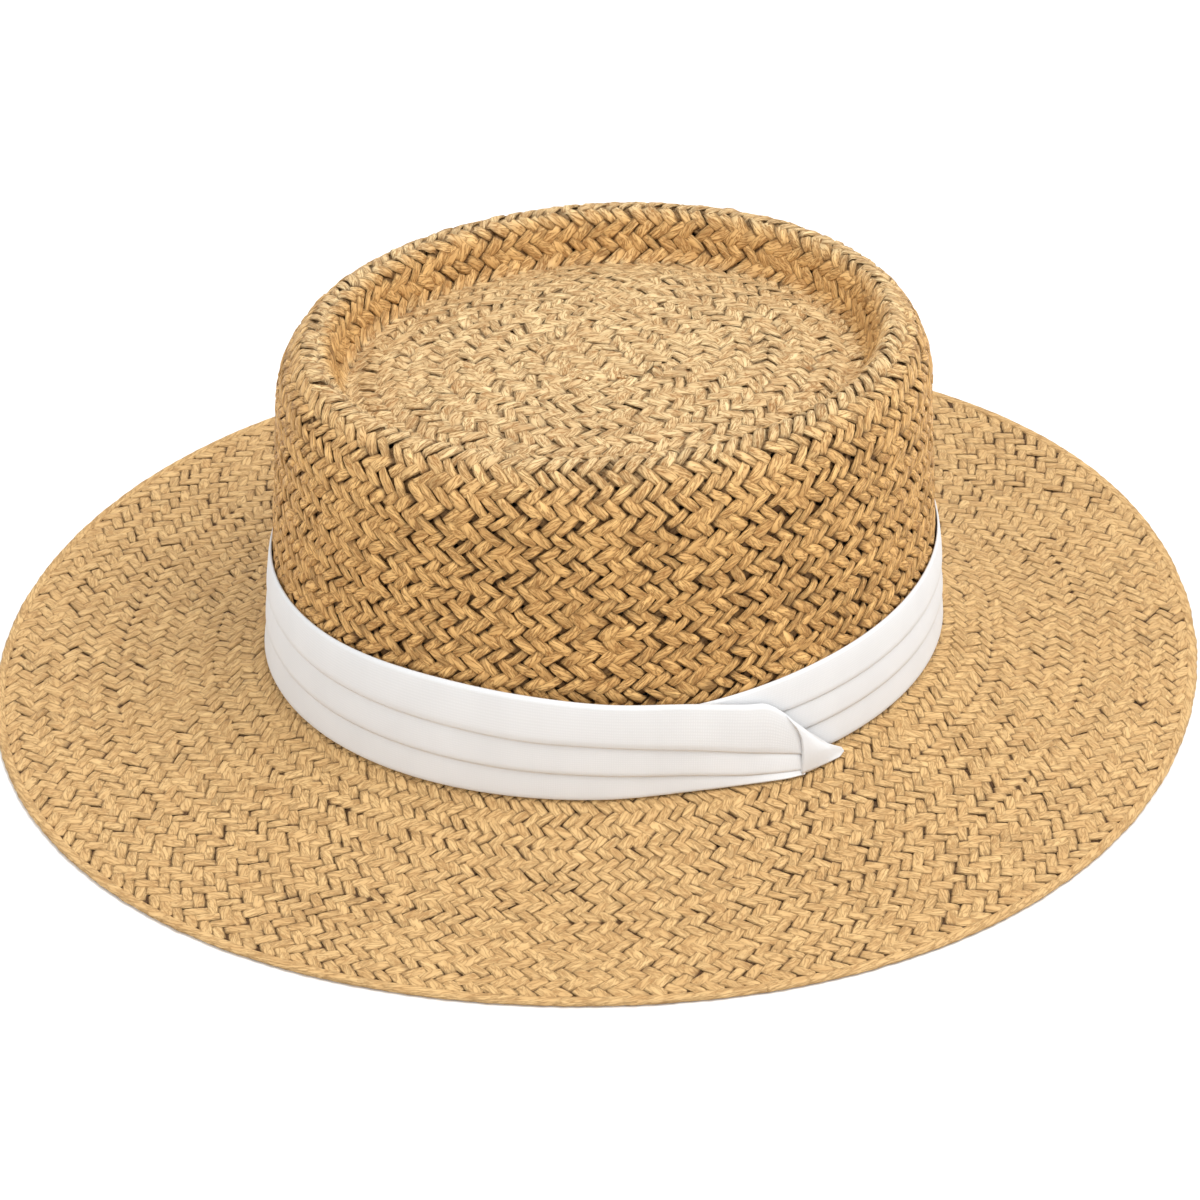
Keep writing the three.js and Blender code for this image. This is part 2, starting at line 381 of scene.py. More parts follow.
class SunHatStraw(bpy.types.PropertyGroup):
    """Colours of the straw, with its painted light and shade."""

    # Painted shade: the crown's straw where its wall faces aside, darker and more orange than where it faces
    # up
    side: FloatVectorProperty(
        name="Crown straw", description="Colour of the crown's strands", subtype="COLOR",
        default=(0.83, 0.51, 0.194), min=0, max=1,
    )
    # Painted light: the same straw where the wall faces up
    tip: FloatVectorProperty(
        name="Tip straw", description="Colour of the tip's strands", subtype="COLOR",
        default=(0.775, 0.585, 0.312), min=0, max=1,
    )
    # The brim's straw where it faces up; where its sweep faces aside it is painted towards the crown's shaded
    # colour
    brim: FloatVectorProperty(
        name="Brim straw", description="Colour of the brim's strands", subtype="COLOR",
        default=(0.70, 0.468, 0.213), min=0, max=1,
    )
    # Painted shade in the folds and creases of the paper straw
    crease_shade: FloatVectorProperty(
        name="Creases", description="Colour of the creases in the paper straw", subtype="COLOR",
        default=(0.34, 0.15, 0.04), min=0, max=1,
    )
    # Painted shade: the straw deep in the gaps
    gap: FloatVectorProperty(
        name="Gaps", description="Colour of the straw deep in the gaps", subtype="COLOR",
        default=(0.05, 0.018, 0.004), min=0, max=1,
    )
    # Painted shade: how dark the gaps are painted on the crown's side, the tip and the brim
    side_gap_shade: FloatProperty(
        name="Crown gaps", description="How dark the crown's gaps are", subtype="FACTOR", default=0.86,
        min=0, max=1,
    )
    tip_gap_shade: FloatProperty(
        name="Tip gaps", description="How dark the tip's gaps are", subtype="FACTOR", default=0.58,
        min=0, max=1,
    )
    brim_gap_shade: FloatProperty(
        name="Brim gaps", description="How dark the brim's gaps are", subtype="FACTOR", default=0.94,
        min=0, max=1,
    )
    # Painted shade: how dark the folds and creases are painted
    side_fold_shade: FloatProperty(
        name="Crown folds", description="How dark the folds in the crown's straw are", subtype="FACTOR",
        default=0.52, min=0, max=1,
    )
    brim_fold_shade: FloatProperty(
        name="Brim folds", description="How dark the folds in pressed straw are", subtype="FACTOR",
        default=0.3, min=0, max=1,
    )
    roughness: FloatProperty(
        name="Roughness", description="Roughness of the paper straw", subtype="FACTOR", default=0.58,
        min=0, max=1,
    )


class SunHatCloth(bpy.types.PropertyGroup):
    """The cloth of the band and its knot."""

    colour: FloatVectorProperty(
        name="Cloth", description="Colour of the cloth", subtype="COLOR",
        default=(0.74, 0.747, 0.755), min=0, max=1,
    )
    thickness: FloatProperty(
        name="Thickness", description="Thickness of the folded cloth", default=0.5 * MM, unit="LENGTH"
    )
    wrinkle: FloatProperty(
        name="Wrinkle", description="Height of the soft wrinkles", default=0.06 * MM, unit="LENGTH"
    )


class SunHatStage(bpy.types.PropertyGroup):
    """Floor and lights."""

    floor: FloatVectorProperty(
        name="Floor", description="Colour of the floor", subtype="COLOR",
        default=(0.86, 0.86, 0.86), min=0, max=1,
    )
    key: FloatProperty(
        name="Key light", description="Power of the main light", default=18.0, min=0, unit="POWER"
    )
    fill: FloatProperty(
        name="Fill light", description="Power of the side light", default=4.0, min=0, unit="POWER"
    )
    sky: FloatProperty(name="Sky", description="Strength of the light from all round", default=0.96, min=0)


class SunHatSettings(bpy.types.PropertyGroup):
    """All the hat's settings."""

    weave: PointerProperty(type=SunHatWeave)
    straw: PointerProperty(type=SunHatStraw)
    cloth: PointerProperty(type=SunHatCloth)
    stage: PointerProperty(type=SunHatStage)


# The hat's walls


def bezier(corners, steps):
    """Points of a cubic curve in a section."""
    share = np.linspace(0, 1, steps)[:, None]
    return sum(
        math.comb(3, i) * (1 - share) ** (3 - i) * share**i * np.array(corner)
        for i, corner in enumerate(corners)
    )


def crown_line():
    """The crown's outer section, from the middle of the tip over the crest to its foot."""
    share = np.linspace(0, 1, TIP_STEPS)
    tip = np.stack([TIP_RADIUS * share, GROOVE + TIP_RISE * (1 - share**TIP_FLATNESS)], axis=1)
    dent = bezier([
        (TIP_RADIUS, GROOVE),
        (TIP_RADIUS + DENT_FOOT_HANDLE * DENT_SLOPE, GROOVE),
        (CREST_RADIUS - DENT_CREST_HANDLE * DENT_SLOPE, CREST),
        (CREST_RADIUS, CREST),
    ], CURVE_STEPS)
    angle = np.linspace(np.pi / 2, 0, CURVE_STEPS)
    shoulder = np.stack([
        CREST_RADIUS + SHOULDER_INSET * np.cos(angle), SHOULDER + SHOULDER_RISE * np.sin(angle)
    ], axis=1)
    side = np.linspace((FOOT_RADIUS - CROWN_LEAN, SHOULDER), (FOOT_RADIUS, BRIM_TOP), CURVE_STEPS)
    return np.concatenate([tip, dent, shoulder, side])


def brim_line():
    """The brim's upper section, from the head opening down a hollow sweep to its level outer ring."""
    sweep = bezier([
        (FOOT_RADIUS, BRIM_TOP),
        (
            FOOT_RADIUS + SWEEP_TOP_HANDLE * BRIM_SWEEP,
            BRIM_STRAW + SWEEP_TOP_HEIGHT * (BRIM_TOP - BRIM_STRAW),
        ),
        (FOOT_RADIUS + SWEEP_FOOT_HANDLE * BRIM_SWEEP, BRIM_STRAW),
        (FOOT_RADIUS + BRIM_SWEEP, BRIM_STRAW),
    ], CURVE_STEPS)
    opening = np.linspace((FOOT_RADIUS - STRAW, BRIM_TOP), (FOOT_RADIUS, BRIM_TOP), OPENING_STEPS)
    level = np.linspace(sweep[-1], (EDGE_RADIUS - EDGE_INSET, BRIM_STRAW), LEVEL_STEPS)
    return np.concatenate([opening, sweep, level])


def wavy(radius, turn):
    """A radius with the brim's slow waves, which grow towards its edge."""
    share = np.clip((radius - FOOT_RADIUS) / BRIM_WIDTH, 0, 1)
    swing = sum(
        row["size"] * np.cos(row["waves"] * (turn - math.radians(row["turn"]))) for row in BRIM_WAVES
    )
    return radius + MM * share**2 * swing


class Wall:
    """The middle of a straw wall, by distance along its section and turn round the hat."""

    def __init__(self, line, thickness):
        apart = np.linalg.norm(np.diff(line, axis=0), axis=1)
        line = line[np.concatenate([[True], apart > TINY])]
        run = np.gradient(line, axis=0)
        run /= np.linalg.norm(run, axis=1)[:, None]
        self.normal = np.stack([-run[:, 1], run[:, 0]], axis=1)
        self.line = line - self.normal * thickness / 2
        self.line[:, 0] = np.maximum(self.line[:, 0], 0)
        self.along = np.concatenate([[0], np.cumsum(np.linalg.norm(np.diff(self.line, axis=0), axis=1))])
        self.length = self.along[-1]

    def radius(self, along):
        return np.interp(along, self.along, self.line[:, 0])

    def sun(self, along):
        """How squarely the wall faces up, from 0 to 1. The straw is painted paler where it does, as light
        from above.
        """
        return np.clip(np.interp(along, self.along, self.normal[:, 1]), 0, 1) ** 2

    def place(self, along, turn, lift):
        """Points on the wall, and the way out of it, which is square to the oval."""
        radius = wavy(self.radius(along), turn)
        height = np.interp(along, self.along, self.line[:, 1])
        out = np.interp(along, self.along, self.normal[:, 0])
        up = np.interp(along, self.along, self.normal[:, 1])
        length = np.hypot(out, up)
        stretch = OVAL_STRETCH * np.minimum(1, radius / TIP_RADIUS)
        wide = (radius + stretch) * np.cos(turn)
        long = (radius - stretch) * np.sin(turn)
        level = np.maximum(np.hypot(wide, long), TINY)
        away = np.stack([out * wide / level, out * long / level, up], axis=-1) / length[..., None]
        point = np.stack([
            (radius - stretch) * np.cos(turn), (radius + stretch) * np.sin(turn), height
        ], axis=-1)
        return point + away * lift[..., None], away


# Weaving


def unit(vectors):
    return vectors / np.maximum(np.linalg.norm(vectors, axis=-1, keepdims=True), TINY)


def section_corners():
    """Corners of a strand's flat section, across and up. The first is underneath, to hide the UV seam."""
    angle = 2 * np.pi * (np.arange(SECTION_SIDES) - 2) / SECTION_SIDES
    across, up = np.cos(angle), np.sin(angle)
    return tuple(np.sign(axis) * np.abs(axis) ** SECTION_FLATNESS for axis in (across, up))


def tubes(path, away, width, thickness, roll):
    """Flat tubes along rows of points: one ring of corners at each point."""
    run = unit(np.gradient(path, axis=1))
    side = unit(np.cross(away, run))
    up = np.cross(run, side)
    section_across, section_up = section_corners()
    across = (width / 2)[..., None] * section_across
    rise = (thickness / 2)[..., None] * section_up
    cos, sin = np.cos(roll)[..., None], np.sin(roll)[..., None]
    flat = across * cos - rise * sin
    tall = across * sin + rise * cos
    return path[:, :, None, :] + side[:, :, None, :] * flat[..., None] + up[:, :, None, :] * tall[..., None]


def drift(rng, shape, wander):
    """Smooth random wandering along rows, with a new aim every few samples."""
    count, steps = shape
    aims = rng.normal(0, wander.size, (count, steps // wander.every + 2))
    place = np.arange(steps) / wander.every
    before = place.astype(int)
    part = place - before
    return aims[:, before] * (1 - part) + aims[:, before + 1] * part


def over_under(rows):
    """Height of a strand along its rows: over two, under two, flat on top of each float."""
    return np.clip(FLOAT_FLATNESS * np.cos(np.pi / 2 * (rows - FLOAT_MIDDLE)), -1, 1)


def sample_rows(begin, end):
    """Places along a strand, two to a row, crowded where it dives."""
    even = np.arange(begin, end + SAMPLE_SLACK, SAMPLE_STEP)[None, :]
    return even - DIVE_CROWDING * np.sin(np.pi * (even - FLOAT_MIDDLE - 1))


def strand_block(wall, along, turn, wave, room, finish, rng):
    """Strands that follow given rows of places on a wall."""
    shape = turn.shape
    each = (shape[0], 1)
    uneven = finish["unevenness"]
    lift = finish["puff"] * (wave + uneven * drift(rng, shape, LIFT_WANDER))
    path, away = wall.place(along, turn, lift)
    swell = 1 + uneven * (rng.normal(0, WIDTH_SPREAD, each) + drift(rng, shape, WIDTH_WANDER))
    width = finish["width"] * room * (NECK + (1 - NECK) * wave**2) * swell
    thickness = finish["thickness"] * (1 + uneven * drift(rng, shape, THICKNESS_WANDER))
    roll = uneven * finish["puff"] / MM * drift(rng, shape, ROLL_WANDER)
    corners = tubes(path, away, width, thickness, roll)
    step = np.linalg.norm(np.diff(path, axis=1), axis=2)
    length = np.concatenate([np.zeros(each), np.cumsum(step, axis=1)], axis=1)
    return {
        "corners": corners,
        "length": length + rng.uniform(0, UV_START_SPREAD, each),
        "twist": np.broadcast_to(rng.choice([-1, 1], each) * TWIST, shape),
        "tone": np.broadcast_to(rng.uniform(0, 1, each), shape) + drift(rng, shape, TONE_WANDER),
        # Facing up sets the painted light, and depth the painted shade in the gaps
        "sun": wall.sun(along),
        "depth": wave + uneven * drift(rng, shape, DEPTH_WANDER),
    }


def zone_block(wall, zone, first, ring, family, finish, rng):
    """All the strands of one family in one zone.

    A ring has two rows, and starts half a row before its first one.
    """
    count = zone["strands"]
    last = first + zone["rings"] - 1
    begin = 2 * first - 0.5 + (-DIVE if first % 2 == family else TUCK)
    end = 2 * last + 1.5 + (DIVE if last % 2 == family else -TUCK)
    rows = sample_rows(begin, end)
    lean = 2 * family - 1
    shape = (count, rows.shape[1])
    uneven = finish["unevenness"]
    turn = 2 * np.arange(count)[:, None] + lean * rows
    turn = turn + uneven * (rng.normal(0, TURN_SPREAD, (count, 1)) + drift(rng, shape, TURN_WANDER))
    along = ((rows + 0.5) / 2 + uneven * drift(rng, shape, ALONG_WANDER)) * ring
    along = np.clip(along, 0, wall.length)
    wave = np.broadcast_to(-lean * over_under(rows), shape)
    half_pitch = np.pi * wall.radius(along) / count
    room = half_pitch * ring / np.hypot(half_pitch, ring / 2)
    return strand_block(wall, along, turn * np.pi / count, wave, room, finish, rng)


def ring_count(zones):
    return sum(zone["rings"] for zone in zones)


def weave_zones(wall, zones, first, ring, finish, rng):
    """Weaves zone after zone outwards. Gives the blocks of each family."""
    made = {side: [] for side in FAMILIES}
    for zone in zones:
        for family, side in enumerate(FAMILIES):
            made[side].append(zone_block(wall, zone, first, ring, family, finish, rng))
        first += zone["rings"]
    return made


def patch_blocks(wall, radius, finish, rng):
    """The square patch in the middle of the tip. Gives the blocks of each family."""
    half = int(radius / PATCH_ROOM)
    made = {}
    for family, side in enumerate(FAMILIES):
        made[side] = []
        for index in range(-half, half + 1):
            offset = index * PATCH_ROOM
            reach = math.sqrt(radius**2 - offset**2) / PATCH_ROOM + PATCH_OVERLAP
            rows = sample_rows(index - round(2 * reach) / 2 + PATCH_START, index + reach)
            shape = rows.shape
            run = (rows - index + drift(rng, shape, PATCH_RUN_WANDER)) * PATCH_ROOM
            across = offset + PATCH_ROOM * drift(rng, shape, PATCH_SIDE_WANDER)
            wide, long = (run, across) if family == 0 else (across, run)
            wave = (1 - 2 * family) * over_under(rows)
            turn = np.arctan2(long, wide) + math.radians(PATCH_TURN)
            room = np.full(shape, PATCH_ROOM)
            made[side].append(strand_block(wall, np.hypot(wide, long), turn, wave, room, finish, rng))
    return made


def edge_block(rng):
    """The strand that closes the brim's edge."""
    shape = (1, EDGE_STEPS + 1)
    turn = np.linspace(0, 2 * np.pi, EDGE_STEPS + 1)[None, :]
    radius = wavy(EDGE_RADIUS - EDGE_WIDTH / 2, turn)
    away = np.broadcast_to([0.0, 0.0, 1.0], (*shape, 3))
    path = np.stack([
        (radius - OVAL_STRETCH) * np.cos(turn),
        (radius + OVAL_STRETCH) * np.sin(turn),
        np.full(shape, EDGE_HEIGHT),
    ], axis=-1)
    dent = np.cos(EDGE_TURNS * turn + drift(rng, shape, EDGE_DENT_WANDER))
    width = EDGE_WIDTH * (1 + EDGE_DENT * dent + drift(rng, shape, EDGE_WIDTH_WANDER))
    return {
        "corners": tubes(path, away, width, np.full(shape, EDGE_THICKNESS), np.zeros(shape)),
        "length": turn * EDGE_RADIUS,
        "twist": np.full(shape, TWIST),
        "tone": EDGE_TONE + drift(rng, shape, EDGE_TONE_WANDER),
        # Painted as facing up, with a little painted shade in the dents
        "sun": np.ones(shape),
        "depth": EDGE_DEPTH + EDGE_DENT_SHADE * dent,
    }


def strand_piece(name, blocks, material):
    """Joins blocks of strands into one object, with a lengthwise UV map, tone, facing up and depth; the last
    two set its painted light and shade.
    """
    points, faces, spots = [], [], []
    layers = {"tone": [], "sun": [], "depth": []}
    base = 0
    side = np.arange(SECTION_SIDES)
    other = (side + 1) % SECTION_SIDES
    section_up = section_corners()[1]
    for block in blocks:
        count, steps = block["length"].shape
        corner = base + np.arange(count * steps * SECTION_SIDES).reshape(count, steps, SECTION_SIDES)
        start, end = corner[:, :-1], corner[:, 1:]
        quad = np.stack([start[..., side], start[..., other], end[..., other], end[..., side]], axis=-1)
        here = np.broadcast_to(block["length"][:, :-1, None], quad.shape[:3])
        there = np.broadcast_to(block["length"][:, 1:, None], quad.shape[:3])
        twist = np.broadcast_to(block["twist"][:, 1:, None], quad.shape[:3])
        left = np.broadcast_to(side / SECTION_SIDES, quad.shape[:3])
        right = left + 1 / SECTION_SIDES
        spot = np.stack([
            np.stack([left + twist * here, here], -1), np.stack([right + twist * here, here], -1),
            np.stack([right + twist * there, there], -1), np.stack([left + twist * there, there], -1),
        ], axis=-2)
        start_caps = [corner[:, 0][:, cap[::-1]] for cap in CAP_QUADS]
        end_caps = [corner[:, -1][:, cap] for cap in CAP_QUADS]
        caps = np.concatenate(start_caps + end_caps)
        points.append(block["corners"].reshape(-1, 3))
        faces += [quad.reshape(-1, 4), caps]
        spots += [spot.reshape(-1, 2), np.zeros((len(caps) * 4, 2))]
        for label in ("tone", "sun"):
            layers[label].append(np.repeat(block[label].reshape(-1), SECTION_SIDES))
        # Painted shade: a strand's lower corners get less depth, so they are painted darker
        layers["depth"].append((block["depth"][..., None] + EDGE_SHADE * section_up).reshape(-1))
        base += count * steps * SECTION_SIDES
    mesh = bpy.data.meshes.new(name)
    mesh.from_pydata(np.concatenate(points), [], np.concatenate(faces))
    mesh.uv_layers.new(name="strand").data.foreach_set("uv", np.concatenate(spots).ravel())
    for label, values in layers.items():
        layer = mesh.attributes.new(name=label, type="FLOAT", domain="POINT")
        layer.data.foreach_set("value", np.concatenate(values))
    mesh.shade_smooth()
    mesh.update()
    piece = bpy.data.objects.new(name, mesh)
    bpy.context.collection.objects.link(piece)
    mesh.materials.append(material)
    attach(piece, "root")
    return piece


def weave_finish(weave, part):
    """How one part's strands are made."""
    return {name: getattr(weave, f"{part}_{name}") for name in STRAND_SETTINGS}


# Materials


def new_material(name):
    material = bpy.data.materials.new(name)
    material.use_nodes = True
    nodes = material.node_tree.nodes
    nodes.clear()
    shader = nodes.new("ShaderNodeBsdfPrincipled")
    output = nodes.new("ShaderNodeOutputMaterial")
    material.node_tree.links.new(shader.outputs["BSDF"], output.inputs["Surface"])
    return material, nodes, material.node_tree.links, shader


def map_range(nodes, links, value, given, wanted):
    """A value taken from one range to another, and held inside it."""
    node = nodes.new("ShaderNodeMapRange")
    links.new(value, node.inputs["Value"])
    node.inputs["From Min"].default_value, node.inputs["From Max"].default_value = given
    node.inputs["To Min"].default_value, node.inputs["To Max"].default_value = wanted
    return node.outputs["Result"]


def combine(nodes, links, operation, first, second):
    """Two values put together. Either may be a plain number."""
    node = nodes.new("ShaderNodeMath")
    node.operation = operation
    for value, socket in zip((first, second), node.inputs):
        if isinstance(value, bpy.types.NodeSocket):
            links.new(value, socket)
        else:
            socket.default_value = value
    return node.outputs["Value"]


def attribute(nodes, name):
    node = nodes.new("ShaderNodeAttribute")
    node.attribute_name = name
    return node.outputs["Fac"]


def noise(nodes, links, spot, scale, detail):
    """Noise stretched by a scale on a UV map."""
    stretch = nodes.new("ShaderNodeMapping")
    stretch.inputs["Scale"].default_value = (*scale, 1)
    links.new(spot, stretch.inputs["Vector"])
    node = nodes.new("ShaderNodeTexNoise")
    node.inputs["Scale"].default_value = 1.0
    node.inputs["Detail"].default_value = detail
    node.inputs["Roughness"].default_value = NOISE_ROUGHNESS
    links.new(stretch.outputs["Vector"], node.inputs["Vector"])
    return node.outputs["Fac"]


def mix_colour(nodes, links, share, first, second):
    """A mix of two colours. Either may be a plain colour."""
    node = nodes.new("ShaderNodeMix")
    node.data_type = "RGBA"
    links.new(share, node.inputs["Factor"])
    for value, socket in ((first, node.inputs["A"]), (second, node.inputs["B"])):
        if isinstance(value, bpy.types.NodeSocket):
            links.new(value, socket)
        else:
            socket.default_value = (*value, 1)
    return node.outputs["Result"]


def straw_material(name, straw, sunlit_colour, gaps, folds):
    """Twisted paper straw: folds and fine creases along each strand, with painted shade in them, and painted
    shade where it dives into the gaps.

    The straw is painted paler where the wall faces up, as light from above, with less painted shade in its
    gaps. The two numbers for gaps are for a wall that faces aside and one that faces up.
    """
    material, nodes, links, shader = new_material(name)
    spot = nodes.new("ShaderNodeUVMap")
    spot.uv_map = "strand"
    tone = attribute(nodes, "tone")
    sun = attribute(nodes, "sun")
    depth = attribute(nodes, "depth")
    fold = noise(nodes, links, spot.outputs["UV"], FOLD_SCALE, FOLD_DETAIL)
    fibre = noise(nodes, links, spot.outputs["UV"], FIBRE_SCALE, FIBRE_DETAIL)

    # Painted shade in the folds and along the fine creases; the tone is each strand's own
    from_middle = combine(nodes, links, "SUBTRACT", fibre, FIBRE_MIDDLE)
    away = combine(nodes, links, "ABSOLUTE", from_middle, 0)
    line = map_range(nodes, links, away, (0, CREASE_WIDTH), (0, 1))
    by_fold = map_range(nodes, links, fold, FOLD_RANGE, (1 - folds, 1))
    by_tone = map_range(nodes, links, tone, (0, 1), TONE_LIGHT)
    by_line = map_range(nodes, links, line, (0, 1), (1 - CREASE_DEPTH * folds, 1))
    light = combine(nodes, links, "MULTIPLY", by_fold, by_tone)
    light = combine(nodes, links, "MULTIPLY", light, by_line)
    # Painted light: paler straw where the wall faces up
    pale = mix_colour(nodes, links, sun, straw.side, sunlit_colour)
    colour = mix_colour(nodes, links, light, straw.crease_shade, pale)

    # Painted shade: darker the deeper the strand lies in the weave, and less where the wall faces up
    ragged = combine(nodes, links, "MULTIPLY", from_middle, GAP_RAGGEDNESS)
    lifted = combine(nodes, links, "MULTIPLY", sun, SUNLIT_GAP_LIFT)
    height = combine(nodes, links, "ADD", combine(nodes, links, "ADD", depth, ragged), lifted)
    sunk = map_range(nodes, links, height, GAP_RANGE, (0, 1))
    darkness = map_range(nodes, links, sun, (0, 1), gaps)
    shade = combine(nodes, links, "MULTIPLY", sunk, darkness)
    links.new(mix_colour(nodes, links, shade, colour, straw.gap), shader.inputs["Base Color"])

    bump = nodes.new("ShaderNodeBump")
    bump.inputs["Strength"].default_value = 1.0
    bump.inputs["Distance"].default_value = STRAW_RELIEF
    relief = combine(nodes, links, "ADD", fold, combine(nodes, links, "MULTIPLY", line, CREASE_RELIEF))
    links.new(relief, bump.inputs["Height"])
    links.new(bump.outputs["Normal"], shader.inputs["Normal"])
    shader.inputs["Roughness"].default_value = straw.roughness
    shader.inputs["Specular IOR Level"].default_value = STRAW_SPECULAR
    return material


def cloth_material(name, colour):
    """Plain woven cotton: fine threads both ways and a faint unevenness."""
    material, nodes, links, shader = new_material(name)
    spot = nodes.new("ShaderNodeUVMap")
    spot.uv_map = "cloth"
    threads = []
    for direction in ("X", "Y"):
        wave = nodes.new("ShaderNodeTexWave")
        wave.bands_direction = direction
        wave.inputs["Scale"].default_value = THREAD_SCALE
        wave.inputs["Distortion"].default_value = THREAD_DISTORTION
        wave.inputs["Detail"].default_value = THREAD_DETAIL
        links.new(spot.outputs["UV"], wave.inputs["Vector"])
        threads.append(wave.outputs["Fac"])
    weave = combine(nodes, links, "MULTIPLY", *threads)
    cloud = nodes.new("ShaderNodeTexNoise")
    cloud.inputs["Scale"].default_value = CLOUD_SCALE
    links.new(spot.outputs["UV"], cloud.inputs["Vector"])
    by_thread = map_range(nodes, links, weave, (0, 1), THREAD_LIGHT)
    by_cloud = map_range(nodes, links, cloud.outputs["Fac"], CLOUD_RANGE, CLOUD_LIGHT)
    tint = nodes.new("ShaderNodeHueSaturation")
    tint.inputs["Color"].default_value = (*colour, 1)
    links.new(combine(nodes, links, "MULTIPLY", by_thread, by_cloud), tint.inputs["Value"])
    links.new(tint.outputs["Color"], shader.inputs["Base Color"])
    bump = nodes.new("ShaderNodeBump")
    bump.inputs["Strength"].default_value = THREAD_STRENGTH
    bump.inputs["Distance"].default_value = THREAD_RELIEF
    links.new(weave, bump.inputs["Height"])
    links.new(bump.outputs["Normal"], shader.inputs["Normal"])
    shader.inputs["Roughness"].default_value = CLOTH_ROUGHNESS
    shader.inputs["Sheen Weight"].default_value = CLOTH_SHEEN
    shader.inputs["Sheen Roughness"].default_value = CLOTH_SHEEN_ROUGHNESS
    return material


# Cloth


@cache
def band_column(name):
    """A column of the band's table: the turns and values of its rows, and a curve's slopes there."""
    turns = [row.turn for row in BAND_SECTIONS]
    values = [getattr(row, name) for row in BAND_SECTIONS]
    return turns, values, np.gradient(values, turns)


@cache
def band_at(name, turn):
    """A column of the band's table at a turn, on a smooth curve through its rows."""
    turns, values, slopes = band_column(name)
    after = min(max(1, int(np.searchsorted(turns, turn))), len(turns) - 1)
    before = after - 1
    span = turns[after] - turns[before]
    share = (turn - turns[before]) / span
    rise = values[after] - values[before]
    ease = share * share * (3 - 2 * share)
    bow = share * (1 - share) * span
    return values[before] + rise * ease + bow * (slopes[before] * (1 - share) - slopes[after] * share)


def on_crown(turn, above, out):
    """A point beside the crown, by turn in degrees, height above the brim and distance out, in mm."""
    height = BRIM_TOP + above * MM
    radius = FOOT_RADIUS - CROWN_LEAN * (above * MM) / (SHOULDER - BRIM_TOP) + out * MM
    angle = math.radians(turn)
    return Vector((
        (radius - OVAL_STRETCH) * math.cos(angle),
        (radius + OVAL_STRETCH) * math.sin(angle),
        height,
    ))


def above_brim(point, turn, brim):
    """Lifts a point that would sink into the brim, given by its section."""
    cos, sin = math.cos(math.radians(turn)), math.sin(math.radians(turn))
    if abs(cos) > abs(sin):
        radius = point.x / cos + OVAL_STRETCH
    else:
        radius = point.y / sin - OVAL_STRETCH
    floor = np.interp(radius, brim[:, 0], brim[:, 1]) + BRIM_CLEAR
    return Vector((point.x, point.y, max(point.z, floor)))


def wrinkle(turn, above, size):
    """Soft lengthwise wrinkles, in millimetres."""
    heights = [
        row["size"] * math.sin(math.radians(turn * row["waves"]) + row["climb"] * above) for row in WRINKLES
    ]
    return size / MM * sum(heights) / len(heights)


@cache
def band_profile(turn):
    """The band's section at a turn, from its top edge to its foot, as (height, out) in millimetres."""
    edges = [band_at(name, turn) for name in BAND_EDGES]
    profile = []
    for upper, lower in zip(edges, edges[1:]):
        for row in PLEAT_PROFILE:
            profile.append((upper + (lower - upper) * row["share"] - row["drop"], row["out"]))
    return profile


def cloth_grid(columns, rows, low, high):
    """A flat grid whose UV map runs from its low corner to its high one, in metres."""
    bm = bmesh.new()
    bmesh.ops.create_grid(bm, x_segments=columns, y_segments=rows, size=1)
    layer = bm.loops.layers.uv.new("cloth")
    for face in bm.faces:
        for loop in face.loops:
            place = loop.vert.co
            loop[layer].uv = (
                low[0] + (high[0] - low[0]) * (place.x + 1) / 2,
                low[1] + (high[1] - low[1]) * (place.y + 1) / 2,
            )
    return bm


def band_piece(cloth):
    """The band: three lapped pleats wound round the crown, over their own start."""
    rows = (len(BAND_EDGES) - 1) * len(PLEAT_PROFILE) - 1
    first, last = BAND_SECTIONS[0].turn, BAND_SECTIONS[-1].turn
    brim = brim_line()
    bm = cloth_grid(BAND_COLUMNS, rows, *BAND_UV)
    for vert in bm.verts:
        turn = first + (last - first) * (vert.co.x + 1) / 2
        row = round((1 - vert.co.y) / 2 * rows)
        above, out = band_profile(turn)[row]
        top_lift, foot_lift = band_at("top_lift", turn), band_at("foot_lift", turn)
        out += top_lift + (foot_lift - top_lift) * row / rows
        out += wrinkle(turn, above, cloth.wrinkle)
        vert.co = above_brim(on_crown(turn, above, out), turn, brim)
    return finish_cloth("hat_band", bm, cloth.thickness)


def curve_point(rows, share):
    """A point along a short table of turn, height and lift."""
    place = share * (len(rows) - 1)
    before = min(int(place), len(rows) - 2)
    part = place - before
    return [
        rows[before][name] + (rows[before + 1][name] - rows[before][name]) * part
        for name in ("turn", "height", "lift")
    ]


def knot_piece(cloth):
    """The knot: a puffed wrap between its own edge and the tail's, folded double."""
    brim = brim_line()
    bm = cloth_grid(KNOT_COLUMNS, KNOT_ROWS, *KNOT_UV)
    for vert in bm.verts:
        along = (vert.co.x + 1) / 2
        up = (vert.co.y + 1) / 2
        edge = curve_point(KNOT_EDGE, up)
        tail = curve_point(KNOT_TAIL, up)
        turn, above, lift = (a + (b - a) * along for a, b in zip(edge, tail))
        puff = KNOT_PUFF * math.sin(math.pi * up) * math.sin(math.pi * min(1, KNOT_PUFF_START + along))
        vert.co = above_brim(on_crown(turn, above, lift + puff), turn, brim)
    return finish_cloth("band_knot", bm, cloth.thickness * 2)


def finish_cloth(name, bm, thickness):
    """Makes a shaped grid a piece of cloth with a thickness, in place of a solid."""
    bmesh.ops.recalc_face_normals(bm, faces=bm.faces)
    mesh = bpy.data.meshes.new(name + "_cloth")
    bm.to_mesh(mesh)
    bm.free()
    mesh.shade_smooth()
    piece = bpy.data.objects.new(name + "_cloth", mesh)
    bpy.context.collection.objects.link(piece)
    wall = piece.modifiers.new("Thickness", "SOLIDIFY")
    wall.thickness = thickness
    wall.offset = -1
    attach(piece, "root")
    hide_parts(name)
    return piece


# Operators


